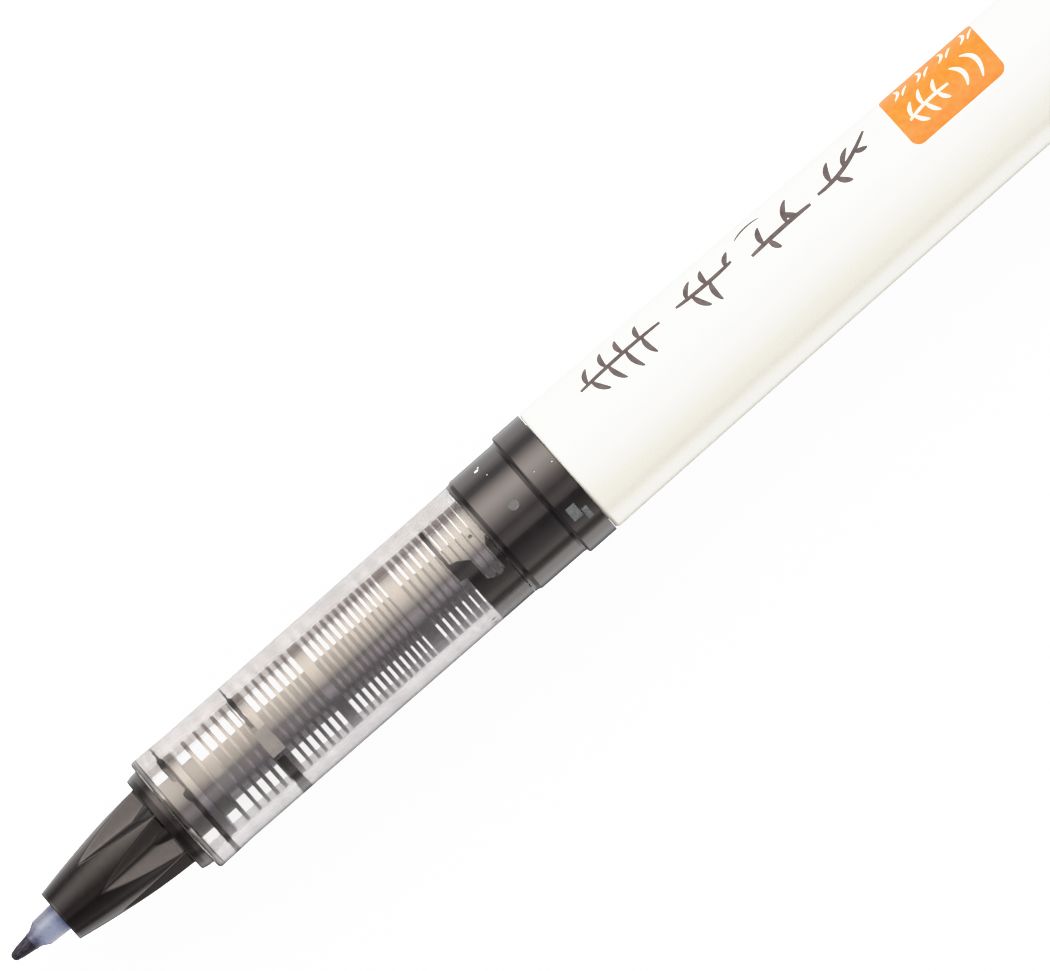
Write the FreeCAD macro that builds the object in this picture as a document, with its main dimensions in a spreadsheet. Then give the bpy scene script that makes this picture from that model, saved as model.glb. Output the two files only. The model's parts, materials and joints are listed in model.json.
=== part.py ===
"""A brush sign pen with free ink: nose and nib, clear collector section, barrel, posted cap and clip.

Millimetres. The pen lies along X with its nib towards -X and +Z up. The origin is on the pen's axis, at
the collar's shoulder that the cap seats on. Every sub-part's profile is a sketch in the XZ plane, with X
along the pen and the sketch's height as the radius, and its corners are bound to the sheet "dims".
"""
import FreeCAD, Part
import math
import os
import re
import Sketcher
from FreeCAD import Placement, Rotation, Vector

os.makedirs("parts", exist_ok=True)
doc = FreeCAD.newDocument("brush_pen")

DIMENSIONS = {
    # fibre nib and its sleeve
    "nib_apex": -56.16,
    "nib_tip_length": 0.21,
    "nib_tip_radius": 0.33,
    "nib_tip_round": 0.36,
    "nib_flank_round": 4.0,
    "nib_radius": 0.72,
    "sleeve_front": -54.2,
    "sleeve_lip_end": -53.8,
    "sleeve_lip_radius": 0.8,
    "sleeve_shoulder": -52.95,
    "sleeve_radius": 1.26,
    "sleeve_rear": -45.0,
    "fibre_fit": 0.02,
    # nose cone
    "nose_front": -51.04,
    "nose_front_radius": 2.36,
    "nose_rear_radius": 3.84,
    "nose_bulge_radius": 75.0,
    "nose_edge": 0.06,
    "flange_front": -40.0,
    "flange_front_radius": 4.56,
    "flange_rear_radius": 4.8,
    "flange_round": 0.2,
    "spigot_radius": 1.6,
    "spigot_end": -36.2,
    "flute_count": 6,
    "flute_clock": 14.0,
    "flute_start": -47.3,
    "flute_end": -40.06,
    "flute_start_radius": 3.0,
    "flute_end_radius": 2.42,
    "flute_front_round": 0.7,
    "flute_rear_round": 2.1,
    # clear front shell
    "shell_front": -38.88,
    "shell_wall": 0.4,
    "shell_lip_round": 0.32,
    "shell_lip_radius": 5.5,
    "shell_lip_end": -37.6,
    "shell_neck": -35.6,
    "shell_front_radius": 5.416,
    "shell_rear_radius": 5.5,
    "shell_bore": 4.24,
    "shell_spigot_radius": 5.0,
    "shell_end": -1.04,
    # ink collector
    "collector_front": -38.44,
    "collector_rear": -5.2,
    "collector_neck": 2.72,
    "disc_radius": 4.16,
    "core_radius": 1.95,
    "first_disc": -36.56,
    "neck_slot": -35.88,
    "neck_slot_width": 1.16,
    "wide_slot": -34.4,
    "wide_slot_width": 0.96,
    "ink_slot": -29.92,
    "ink_slot_width": 0.64,
    "comb_a_start": -33.18,
    "comb_a_pitch": 0.95,
    "comb_a_pitch_step": 0.02,
    "comb_a_slot": 0.67,
    "comb_a_slot_step": 0.04,
    "comb_b_start": -28.52,
    "comb_b_pitch": 0.816,
    "comb_b_pitch_step": 0.016,
    "comb_b_slot": 0.54,
    "comb_b_slot_step": 0.022,
    "comb_c_start": -22.4,
    "comb_c_pitch": 0.7,
    "comb_c_pitch_step": 0.009,
    "comb_c_slot": 0.4,
    "comb_c_slot_step": 0.0175,
    "comb_d_start": -13.18,
    "comb_d_pitch": 0.71,
    "comb_d_pitch_step": 0.0,
    "comb_d_slot": 0.26,
    "comb_d_slot_step": 0.016,
    "bridge_front": -29.92,
    "bridge_rear": -28.56,
    "bridge_low": -1.68,
    "bridge_high": 0.96,
    "bridge_top": 3.7,
    "slit_width": 0.3,
    "slit_root": 1.6,
    # wick, partition and ink
    "wick_radius": 1.0,
    "wick_front": -36.16,
    "wick_rear": 3.6,
    "partition_front": -5.14,
    "partition_step": -3.5,
    "partition_rear": 2.0,
    "partition_hub_radius": 2.2,
    "breather_radius": 0.3,
    "breather_offset": 3.2,
    "ink_level": 2.6,
    "ink_front": 8.1,
    "ink_rear": 51.9,
    "ink_gap": 0.02,
    "front_ink_width": 0.54,
    "rear_ink_length": 3.5,
    "groove_ink_sweep": 260.0,
    "groove_ink_clock": 50.0,
    "rear_ink_sweep": 150.0,
    "rear_ink_clock": 15.0,
    # collar
    "collar_front": -5.36,
    "land_front": -4.72,
    "land_radius": 5.664,
    "ring_radius": 6.04,
    "ring_round": 0.2,
    "ring_end": 2.88,
    "barrel_spigot_radius": 4.98,
    "barrel_spigot_end": 8.0,
    # barrel and tail
    "barrel_front": 2.92,
    "barrel_front_radius": 6.02,
    "barrel_bevel": 0.3,
    "barrel_taper_end": 46.6,
    "barrel_radius": 5.76,
    "barrel_end": 59.5,
    "barrel_bore": 5.0,
    "tail_front": 52.0,
    "tail_inner_radius": 4.2,
    "tail_ring_front": 59.54,
    "tail_ring_radius": 5.9,
    "tail_ring_rear": 61.45,
    "post_radius": 5.64,
    "post_end": 73.5,
    "tail_wall": 1.2,
    # cap
    "cap_mouth": 61.5,
    "cap_bore": 5.7,
    "cap_radius": 6.5,
    "cap_edge": 0.2,
    "cap_end": 121.0,
    "inner_mouth": 100.4,
    "inner_rear": 119.5,
    "inner_floor": 118.7,
    "inner_mouth_radius": 4.9,
    "inner_floor_radius": 4.6,
    "inner_outer_radius": 5.68,
    "crown_front": 119.56,
    "crown_rim": 121.04,
    "crown_shoulder": 122.9,
    "crown_end": 123.5,
    "crown_end_radius": 5.9,
    "clip_slot_front": 121.6,
    "clip_slot_rear": 122.6,
    "clip_slot_width": 3.9,
    "clip_slot_floor": 5.0,
    # clip
    "clip_thickness": 0.6,
    "clip_width": 3.6,
    "clip_root": 5.25,
    "clip_back": 122.4,
    "clip_height": 9.4,
    "clip_low_height": 8.6,
    "clip_bend": 88.0,
    "clip_dip": 85.2,
    "clip_dip_height": 6.56,
    "clip_tip": 82.4,
    "clip_tip_height": 7.9,
    "clip_root_round": 1.0,
    "clip_bend_round": 1.5,
}

sheet = doc.addObject("Spreadsheet::Sheet", "dims")
for row, (alias, number) in enumerate(DIMENSIONS.items(), 1):
    sheet.set(f"A{row}", alias)
    sheet.set(f"B{row}", str(number))
    sheet.setAlias(f"B{row}", alias)
doc.recompute()


def value(text):
    """The number that an expression of sheet aliases stands for."""
    found = sheet.evalExpression(text)
    return float(getattr(found, "Value", found))


def bind(target, place, text):
    """Bind a property or constraint to an expression of sheet aliases."""
    target.setExpression(place, re.sub(r"\b[a-z][a-z_]*\b(?!\()", r"dims.\g<0>", text))


def new_body(label):
    """An empty PartDesign body for one sub-part."""
    body = doc.addObject("PartDesign::Body", label)
    body.Label = label
    return body


def new_sketch(body, name, plane="XZ_Plane"):
    """A sketch attached to one of the body's own origin planes."""
    support = [item for item in body.Origin.OriginFeatures if item.Role == plane][0]
    sketch = body.newObject("Sketcher::SketchObject", name)
    sketch.AttachmentSupport = [(support, "")]
    sketch.MapMode = "FlatFace"
    return sketch


def bulging_edge(start, end, radius):
    """An arc from start to end that bulges to the left of the way there."""
    chord = end - start
    left = Vector(-chord.y, chord.x, 0).normalize()
    rise = radius - math.sqrt(radius ** 2 - (chord.Length / 2) ** 2)
    return Part.Arc(start, (start + end) * 0.5 + left * rise, end)


def end_at(sketch, edge, spot):
    """Which end of an edge, 1 or 2, is at a spot."""
    if (sketch.getPoint(edge, 1) - spot).Length < 1e-4:
        return 1
    return 2


def add_outline(sketch, corners, bulges=None):
    """Add a closed outline whose corners are pairs of expressions.

    bulges gives the radius, as an expression, of each edge that is an arc, by its first corner's place.
    """
    bulges = bulges or {}
    spots = [Vector(value(across), value(up), 0) for across, up in corners]
    first = sketch.GeometryCount
    for place, start in enumerate(spots):
        end = spots[(place + 1) % len(spots)]
        if place in bulges:
            sketch.addGeometry(bulging_edge(start, end, value(bulges[place])))
        else:
            sketch.addGeometry(Part.LineSegment(start, end))
    for place, (spot, corner) in enumerate(zip(spots, corners)):
        edge = first + place
        before = first + (place - 1) % len(spots)
        at_spot = end_at(sketch, edge, spot)
        sketch.addConstraint(Sketcher.Constraint(
            "Coincident", before, end_at(sketch, before, spot), edge, at_spot))
        for kind, distance, text in (("DistanceX", spot.x, corner[0]), ("DistanceY", spot.y, corner[1])):
            number = sketch.addConstraint(Sketcher.Constraint(kind, -1, 1, edge, at_spot, distance))
            bind(sketch, f"Constraints[{number}]", text)
        if place in bulges:
            number = sketch.addConstraint(Sketcher.Constraint("Radius", edge, value(bulges[place])))
            bind(sketch, f"Constraints[{number}]", bulges[place])


def box_corners(low_across, high_across, low_up, high_up):
    """The four corners of a rectangular outline."""
    return [(low_across, low_up), (low_across, high_up), (high_across, high_up), (high_across, low_up)]


def turned(label, corners, bulges=None, angle=360):
    """A body turned about the pen's axis from one outline."""
    body = new_body(label)
    sketch = new_sketch(body, label + "_outline")
    add_outline(sketch, corners, bulges)
    solid = body.newObject("PartDesign::Revolution", label + "_turned")
    solid.Profile = sketch
    solid.ReferenceAxis = (sketch, ["H_Axis"])
    solid.Angle = angle
    doc.recompute()
    return body


def cut_through(body, name, sketch, how):
    """Pocket a sketch, or groove it about the pen's axis, and make sure that it removed something."""
    before = body.Shape.Volume
    feature = body.newObject(f"PartDesign::{how}", name)
    feature.Profile = sketch
    if how == "Groove":
        feature.ReferenceAxis = (sketch, ["H_Axis"])
        feature.Angle = 360
    else:
        feature.SideType = "Symmetric"
        feature.Type = "ThroughAll"
    check_cut(body, name, before)


def cut_to_length(body, name, sketch, length, both_sides=False):
    """Pocket a sketch to a length from the sheet, and make sure that it removed something."""
    before = body.Shape.Volume
    pocket = body.newObject("PartDesign::Pocket", name)
    pocket.Profile = sketch
    if both_sides:
        pocket.SideType = "Symmetric"
    bind(pocket, "Length", length)
    check_cut(body, name, before)


def check_cut(body, name, before):
    """Recompute, and stop if a cut removed nothing from the volume that was there before it."""
    doc.recompute()
    if body.Shape.Volume > before - 1e-6:
        raise RuntimeError(f"{name} cut nothing")


# --- nib -----------------------------------------------------------------------------------------

nib_core = turned("nib_core", [
    ("nib_apex", "0"),
    ("nib_apex + nib_tip_length", "nib_tip_radius"),
    ("sleeve_front", "nib_radius"),
    ("spigot_end", "nib_radius"),
    ("spigot_end", "0"),
], bulges={0: "nib_tip_round", 1: "nib_flank_round"})

nib_sleeve = turned("nib_sleeve", [
    ("sleeve_front", "nib_radius + fibre_fit"),
    ("sleeve_front", "sleeve_lip_radius - fibre_fit"),
    ("sleeve_lip_end", "sleeve_lip_radius"),
    ("sleeve_shoulder", "sleeve_radius"),
    ("sleeve_rear", "sleeve_radius"),
    ("sleeve_rear", "nib_radius + fibre_fit"),
])

# --- nose cone: a bulged cone with scooped flutes, a flange and a spigot ---------------------------

nose_cone = turned("nose_cone", [
    ("nose_front", "sleeve_radius + fibre_fit"),
    ("nose_front", "nose_front_radius - nose_edge"),
    ("nose_front + nose_edge", "nose_front_radius"),
    ("flange_front", "nose_rear_radius"),
    ("flange_front", "flange_front_radius - flange_round"),
    ("flange_front + flange_round", "flange_front_radius"),
    ("shell_front - fibre_fit", "flange_rear_radius"),
    ("shell_front - fibre_fit", "spigot_radius"),
    ("spigot_end", "spigot_radius"),
    ("spigot_end", "nib_radius + fibre_fit"),
    ("sleeve_rear + fibre_fit", "nib_radius + fibre_fit"),
    ("sleeve_rear + fibre_fit", "sleeve_radius + fibre_fit"),
], bulges={2: "nose_bulge_radius", 4: "flange_round"})


def scoop_flutes(body):
    """Cut the flutes: each is a tilted cone whose lowest line is the flute's floor."""
    front = Vector(value("flute_start"), value("flute_start_radius"), 0)
    rear = Vector(value("flute_end"), value("flute_end_radius"), 0)
    widening = value("flute_rear_round - flute_front_round")
    floor = rear - front
    length = math.sqrt(floor.Length ** 2 - widening ** 2)
    tilt = math.atan2(floor.y, floor.x) + math.atan2(widening, length)
    across = Vector(-math.sin(tilt), math.cos(tilt), 0)
    front_centre = front + across * value("flute_front_round")
    rear_centre = rear + across * value("flute_rear_round")
    sketch = new_sketch(body, "flute_section")
    spots = [front_centre, front, rear, rear_centre]
    for start, end in zip(spots, spots[1:] + spots[:1]):
        sketch.addGeometry(Part.LineSegment(start, end))
    sketch.addGeometry(Part.LineSegment(front_centre, rear_centre), True)
    for edge in range(4):
        sketch.addConstraint(Sketcher.Constraint("Coincident", edge, 2, (edge + 1) % 4, 1))
    for edge, across_text, up_text in ((1, "flute_start", "flute_start_radius"),
                                       (2, "flute_end", "flute_end_radius")):
        for kind, text in (("DistanceX", across_text), ("DistanceY", up_text)):
            number = sketch.addConstraint(Sketcher.Constraint(kind, -1, 1, edge, 1, value(text)))
            bind(sketch, f"Constraints[{number}]", text)
    for edge, text in ((0, "flute_front_round"), (2, "flute_rear_round")):
        number = sketch.addConstraint(Sketcher.Constraint("Distance", edge, value(text)))
        bind(sketch, f"Constraints[{number}]", text)
        sketch.addConstraint(Sketcher.Constraint("Perpendicular", edge, 3))
    before = body.Shape.Volume
    flute = body.newObject("PartDesign::Groove", "flute")
    flute.Profile = sketch
    flute.ReferenceAxis = (sketch, ["Edge4"])
    flute.Angle = 360
    doc.recompute()
    flutes = body.newObject("PartDesign::PolarPattern", "flutes")
    flutes.Originals = [flute]
    flutes.Axis = (sketch, ["H_Axis"])
    bind(flutes, "Occurrences", "flute_count")
    body.Tip = flutes
    doc.recompute()
    if body.Shape.Volume > before - value("flute_count"):
        raise RuntimeError("the flutes cut too little")


scoop_flutes(nose_cone)
nose_cone.Placement = Placement(Vector(), Rotation(Vector(1, 0, 0), value("flute_clock")))

# --- clear shell -----------------------------------------------------------------------------------

front_shell = turned("front_shell", [
    ("shell_front", "spigot_radius + fibre_fit"),
    ("shell_front", "shell_lip_radius - shell_lip_round"),
    ("shell_front + shell_lip_round", "shell_lip_radius"),
    ("shell_lip_end", "shell_lip_radius"),
    ("shell_neck", "shell_front_radius"),
    ("collar_front", "shell_rear_radius"),
    ("collar_front", "shell_spigot_radius"),
    ("shell_end", "shell_spigot_radius"),
    ("shell_end", "shell_bore"),
    ("shell_front + shell_wall", "shell_bore"),
    ("shell_front + shell_wall", "spigot_radius + fibre_fit"),
], bulges={1: "shell_lip_round"})

# --- ink collector: discs on a core, with slots that narrow towards the tank -----------------------

collector = turned("collector", [
    ("collector_front", "spigot_radius + fibre_fit"),
    ("collector_front", "collector_neck"),
    ("first_disc", "collector_neck"),
    ("first_disc", "disc_radius"),
    ("collector_rear", "disc_radius"),
    ("collector_rear", "wick_radius + fibre_fit"),
    ("spigot_end + fibre_fit", "wick_radius + fibre_fit"),
    ("spigot_end + fibre_fit", "spigot_radius + fibre_fit"),
])
DISC_CLEAR = "disc_radius + 1"


def cut_single_slots(body):
    """The wide slots at the front of the collector: each start, width and root."""
    sketch = new_sketch(body, "single_slots")
    for name, root in (("neck_slot", "collector_neck"), ("wide_slot", "core_radius"),
                       ("ink_slot", "core_radius")):
        add_outline(sketch, box_corners(name, f"{name} + {name}_width", root, DISC_CLEAR))
    cut_through(body, "single_slots_cut", sketch, "Groove")


def cut_comb(body, comb, slots):
    """One comb of slots, whose pitch and width shrink by a step from each slot to the next."""
    sketch = new_sketch(body, f"{comb}_slots")
    for slot in range(slots):
        steps = slot * (slot - 1) / 2
        front = f"{comb}_start + {slot} * {comb}_pitch - {steps} * {comb}_pitch_step"
        rear = f"{front} + {comb}_slot - {slot} * {comb}_slot_step"
        add_outline(sketch, box_corners(front, rear, "core_radius", DISC_CLEAR))
    cut_through(body, f"{comb}_cut", sketch, "Groove")


cut_single_slots(collector)
for comb, slots in (("comb_a", 4), ("comb_b", 7), ("comb_c", 13), ("comb_d", 11)):
    cut_comb(collector, comb, slots)

bridge_sketch = new_sketch(collector, "bridge_outline", "XY_Plane")
add_outline(bridge_sketch, box_corners("bridge_front", "bridge_rear", "bridge_low", "bridge_high"))
bridge = collector.newObject("PartDesign::Pad", "bridge")
bridge.Profile = bridge_sketch
bind(bridge_sketch, "AttachmentOffset.Base.z", "slit_root")
bind(bridge, "Length", "bridge_top - slit_root")
doc.recompute()

slit_sketch = new_sketch(collector, "slit_outline", "XY_Plane")
add_outline(slit_sketch, box_corners("wide_slot", "collector_rear - 1", "-slit_width / 2", "slit_width / 2"))
bind(slit_sketch, "AttachmentOffset.Base.z", "-slit_root")
cut_to_length(collector, "slit", slit_sketch, "disc_radius")

# --- wick, partition and ink -----------------------------------------------------------------------

feed_wick = turned("feed_wick", box_corners("wick_front", "wick_rear", "0", "wick_radius"))

ink_partition = turned("ink_partition", [
    ("partition_front", "wick_radius + fibre_fit"),
    ("partition_front", "shell_bore - fibre_fit"),
    ("partition_step", "shell_bore - fibre_fit"),
    ("partition_step", "partition_hub_radius"),
    ("partition_rear", "partition_hub_radius"),
    ("partition_rear", "wick_radius + fibre_fit"),
])
breather_sketch = new_sketch(ink_partition, "breather_outline", "YZ_Plane")
breather_sketch.addGeometry(Part.Circle(Vector(0, value("breather_offset"), 0), Vector(0, 0, 1),
                                        value("breather_radius")))
for constraint, text in ((Sketcher.Constraint("DistanceY", -1, 1, 0, 3, value("breather_offset")),
                          "breather_offset"),
                         (Sketcher.Constraint("Radius", 0, value("breather_radius")),
                          "breather_radius")):
    bind(breather_sketch, f"Constraints[{breather_sketch.addConstraint(constraint)}]", text)
breather_sketch.addConstraint(Sketcher.Constraint("PointOnObject", 0, 3, -2))
cut_through(ink_partition, "breather", breather_sketch, "Pocket")


def trapped_ink(label, front, rear, inner, sweep, clock):
    """Ink held out to the shell's bore, over a sweep that starts at a clock angle from the top."""
    body = turned(label, box_corners(f"{front} + ink_gap", f"{rear} - ink_gap",
                                     f"{inner} + ink_gap", "shell_bore - ink_gap"), angle=value(sweep))
    body.Placement = Placement(Vector(), Rotation(Vector(1, 0, 0), value(clock)))


trapped_ink("trapped_ink_front", "first_disc - front_ink_width", "first_disc", "collector_neck", "360", "0")
trapped_ink("trapped_ink_groove", "ink_slot", "ink_slot + ink_slot_width", "core_radius",
            "groove_ink_sweep", "groove_ink_clock")
trapped_ink("trapped_ink_rear", "collector_rear - rear_ink_length", "collector_rear", "disc_radius",
            "rear_ink_sweep", "rear_ink_clock")

tank_ink = turned("tank_ink", box_corners("ink_front", "ink_rear", "0", "barrel_bore - 0.1"))
level_sketch = new_sketch(tank_ink, "level_outline")
add_outline(level_sketch, box_corners("ink_front - 1", "ink_rear + 1", "ink_level", "barrel_bore + 1"))
cut_through(tank_ink, "level", level_sketch, "Pocket")

# --- collar, barrel and tail -----------------------------------------------------------------------

collar = turned("collar", [
    ("collar_front + fibre_fit", "shell_spigot_radius + fibre_fit"),
    ("collar_front + fibre_fit", "shell_rear_radius"),
    ("land_front", "land_radius"),
    ("0", "land_radius"),
    ("0", "ring_radius - ring_round"),
    ("ring_round", "ring_radius"),
    ("ring_end", "ring_radius"),
    ("ring_end", "barrel_spigot_radius"),
    ("barrel_spigot_end", "barrel_spigot_radius"),
    ("barrel_spigot_end", "shell_bore"),
    ("shell_end + fibre_fit", "shell_bore"),
    ("shell_end + fibre_fit", "shell_spigot_radius + fibre_fit"),
], bulges={4: "ring_round"})

barrel = turned("barrel", [
    ("barrel_front", "barrel_bore"),
    ("barrel_front", "barrel_front_radius - barrel_bevel"),
    ("barrel_front + barrel_bevel", "barrel_front_radius"),
    ("barrel_taper_end", "barrel_radius"),
    ("barrel_end", "barrel_radius"),
    ("barrel_end", "barrel_bore"),
])

tail_plug = turned("tail_plug", [
    ("tail_front", "tail_inner_radius"),
    ("tail_front", "barrel_spigot_radius"),
    ("tail_ring_front", "barrel_spigot_radius"),
    ("tail_ring_front", "tail_ring_radius - cap_edge"),
    ("tail_ring_front + cap_edge", "tail_ring_radius"),
    ("tail_ring_rear", "tail_ring_radius"),
    ("tail_ring_rear", "post_radius"),
    ("post_end - cap_edge * 2", "post_radius"),
    ("post_end", "post_radius - cap_edge * 2"),
    ("post_end", "0"),
    ("post_end - tail_wall", "0"),
    ("post_end - tail_wall", "tail_inner_radius"),
])

# --- cap -------------------------------------------------------------------------------------------

cap_shell = turned("cap_shell", [
    ("cap_mouth", "cap_bore + cap_edge"),
    ("cap_mouth", "cap_radius - cap_edge"),
    ("cap_mouth + cap_edge", "cap_radius"),
    ("cap_end", "cap_radius"),
    ("cap_end", "cap_bore"),
    ("cap_mouth + cap_edge", "cap_bore"),
], bulges={1: "cap_edge"})

inner_cap = turned("inner_cap", [
    ("inner_mouth", "inner_mouth_radius"),
    ("inner_mouth", "inner_outer_radius - cap_edge"),
    ("inner_mouth + cap_edge", "inner_outer_radius"),
    ("inner_rear", "inner_outer_radius"),
    ("inner_rear", "0"),
    ("inner_floor", "0"),
    ("inner_floor", "inner_floor_radius"),
])

cap_crown = turned("cap_crown", [
    ("crown_front", "0"),
    ("crown_front", "inner_outer_radius"),
    ("crown_rim", "inner_outer_radius"),
    ("crown_rim", "cap_radius"),
    ("crown_shoulder", "cap_radius"),
    ("crown_end", "crown_end_radius"),
    ("crown_end", "0"),
], bulges={4: "crown_end - crown_shoulder"})
slot_sketch = new_sketch(cap_crown, "clip_slot_outline")
add_outline(slot_sketch, box_corners("clip_slot_front", "clip_slot_rear", "clip_slot_floor", "cap_radius + 1"))
cut_to_length(cap_crown, "clip_slot", slot_sketch, "clip_slot_width", both_sides=True)

# --- clip: a bent spring strip, turned so that the lying pen rests on cap and clip -----------------

clip = new_body("clip")
clip_sketch = new_sketch(clip, "clip_side")
add_outline(clip_sketch, [
    ("clip_back", "clip_root"),
    ("clip_back", "clip_height"),
    ("clip_bend", "clip_low_height"),
    ("clip_dip", "clip_dip_height + clip_thickness"),
    ("clip_tip", "clip_tip_height + clip_thickness"),
    ("clip_tip", "clip_tip_height"),
    ("clip_dip", "clip_dip_height"),
    ("clip_bend", "clip_low_height - clip_thickness"),
    ("clip_back - clip_thickness", "clip_height - clip_thickness"),
    ("clip_back - clip_thickness", "clip_root"),
])
clip_strip = clip.newObject("PartDesign::Pad", "clip_strip")
clip_strip.Profile = clip_sketch
clip_strip.SideType = "Symmetric"
bind(clip_strip, "Length", "clip_width")
doc.recompute()


def bend_edges(body, stations):
    """The names of a strip's edges that run across it at the given stations along the pen."""
    names = []
    for number, edge in enumerate(body.Shape.Edges, 1):
        start, end = (vertex.Point for vertex in edge.Vertexes)
        across = abs(start.y - end.y) > abs(start.x - end.x) + abs(start.z - end.z)
        if across and any(abs(start.x - station) < 1e-3 for station in stations):
            names.append((f"Edge{number}", start))
    return names


def round_bends(body, name, texts, radius, lowest=0.0):
    """Round the strip's bends at the given stations, above a height."""
    edges = bend_edges(body, [value(text) for text in texts])
    strip = body.Tip
    feature = body.newObject("PartDesign::Fillet", name)
    feature.Base = (strip, [edge for edge, start in edges if start.z > lowest])
    bind(feature, "Radius", radius)
    doc.recompute()


round_bends(clip, "root_outer_bend", ["clip_back"], "clip_root_round", value("clip_low_height"))
round_bends(clip, "root_inner_bend", ["clip_back - clip_thickness"],
            "clip_root_round - clip_thickness", value("clip_low_height - clip_thickness"))
round_bends(clip, "arm_bends", ["clip_bend", "clip_dip"], "clip_bend_round")

# The pen lies on the cap and on the clip's lower long edge, so both reach the same floor.
clip_reach = value("hypot(clip_height; clip_width / 2)")
clip_lean = math.acos(value("cap_radius") / clip_reach) + math.atan2(value("clip_width / 2"),
                                                                     value("clip_height"))
clip_turn = Placement(Vector(), Rotation(Vector(1, 0, 0), 180 - math.degrees(clip_lean)))
clip.Placement = clip_turn
cap_crown.Placement = clip_turn

# --- checks and export -----------------------------------------------------------------------------

doc.recompute()
failed = [item.Name for item in doc.Objects if {"Invalid", "Error"} & set(item.State)]
if failed:
    raise RuntimeError(f"features failed: {failed}")
bodies = [item for item in doc.Objects if item.TypeId == "PartDesign::Body"]
for body in bodies:
    if body.Shape.isNull() or not body.Shape.isValid() or len(body.Shape.Solids) != 1:
        raise RuntimeError(f"{body.Label} is not one valid solid")
for body in bodies:
    body.Shape.exportStep(f"parts/{body.Label}.step")
    print(f"{body.Label}: {body.Shape.Volume:.1f} mm3")
print(f"clip axis: 0, {-math.cos(clip_lean):.6f}, {math.sin(clip_lean):.6f}")
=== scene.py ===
"""The looks of the brush sign pen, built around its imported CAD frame.

Sizes here are millimetres in the CAD's frame: x along the pen from the nib to the tail, r the distance
from its axis, and angles about the axis counted from +Z towards +Y. MM turns them into Blender's metres.
"""
import json
import math
import random

import bmesh
import bpy
from mathutils import Matrix, Vector


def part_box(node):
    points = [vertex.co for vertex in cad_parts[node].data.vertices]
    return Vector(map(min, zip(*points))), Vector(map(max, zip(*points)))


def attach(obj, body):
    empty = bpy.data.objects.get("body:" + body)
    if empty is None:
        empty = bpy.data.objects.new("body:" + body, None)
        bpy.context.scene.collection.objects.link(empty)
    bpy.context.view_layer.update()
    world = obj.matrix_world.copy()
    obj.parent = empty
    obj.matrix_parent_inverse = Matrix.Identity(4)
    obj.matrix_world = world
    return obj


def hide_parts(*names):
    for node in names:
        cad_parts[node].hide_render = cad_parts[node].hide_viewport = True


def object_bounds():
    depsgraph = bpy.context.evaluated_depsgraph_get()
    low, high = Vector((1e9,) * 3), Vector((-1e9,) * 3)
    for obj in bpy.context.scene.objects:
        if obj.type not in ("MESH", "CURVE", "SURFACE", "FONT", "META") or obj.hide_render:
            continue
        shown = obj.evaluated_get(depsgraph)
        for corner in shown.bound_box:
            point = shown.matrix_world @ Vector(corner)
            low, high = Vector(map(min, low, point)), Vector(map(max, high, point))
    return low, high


MM = 0.001
AROUND = 256  # segments in a full turn
SHARP = math.radians(32)  # an edge that turns the surface more than this is sharp
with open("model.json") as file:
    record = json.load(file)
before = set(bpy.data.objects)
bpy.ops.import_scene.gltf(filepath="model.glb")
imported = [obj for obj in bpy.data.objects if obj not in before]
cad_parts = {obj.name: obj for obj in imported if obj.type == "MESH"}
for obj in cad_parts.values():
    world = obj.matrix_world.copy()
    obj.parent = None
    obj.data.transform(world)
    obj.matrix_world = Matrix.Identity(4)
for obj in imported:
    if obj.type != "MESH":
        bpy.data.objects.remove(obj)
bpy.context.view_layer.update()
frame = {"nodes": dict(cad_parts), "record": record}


def extent(node):
    """(front x, rear x, radius) of a CAD node, in millimetres."""
    low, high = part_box(node)
    return low.x / MM, high.x / MM, high.z / MM


# ---- materials

NOISE_RANGE = (0.3, 0.7)  # where most of a noise's factor lies


def worked(tree, operation, *inputs):
    """The result of a Math node, from outputs and plain numbers."""
    node = tree.nodes.new("ShaderNodeMath")
    node.operation = operation
    for socket, given in zip(node.inputs, inputs):
        if isinstance(given, float):
            socket.default_value = given
        else:
            tree.links.new(given, socket)
    return node.outputs["Value"]


def mapped(tree, factor, start, end, low=0.0, high=1.0, smooth=True):
    """A factor between start and end, mapped to a number between low and high."""
    node = tree.nodes.new("ShaderNodeMapRange")
    if smooth:
        node.interpolation_type = "SMOOTHSTEP"
    for socket, number in (("From Min", start), ("From Max", end), ("To Min", low), ("To Max", high)):
        node.inputs[socket].default_value = number
    tree.links.new(factor, node.inputs["Value"])
    return node.outputs["Result"]


def banded(tree, factor, stops):
    """A color ramp over (factor, color) stops in order, whatever range they cover."""
    low, high = stops[0][0], stops[-1][0]
    node = tree.nodes.new("ShaderNodeValToRGB")
    elements = node.color_ramp.elements
    elements[0].color, elements[1].color = (*stops[0][1], 1), (*stops[-1][1], 1)
    for place, color in stops[1:-1]:
        elements.new((place - low) / (high - low)).color = (*color, 1)
    tree.links.new(mapped(tree, factor, low, high, smooth=False), node.inputs["Fac"])
    return node.outputs["Color"]


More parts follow.
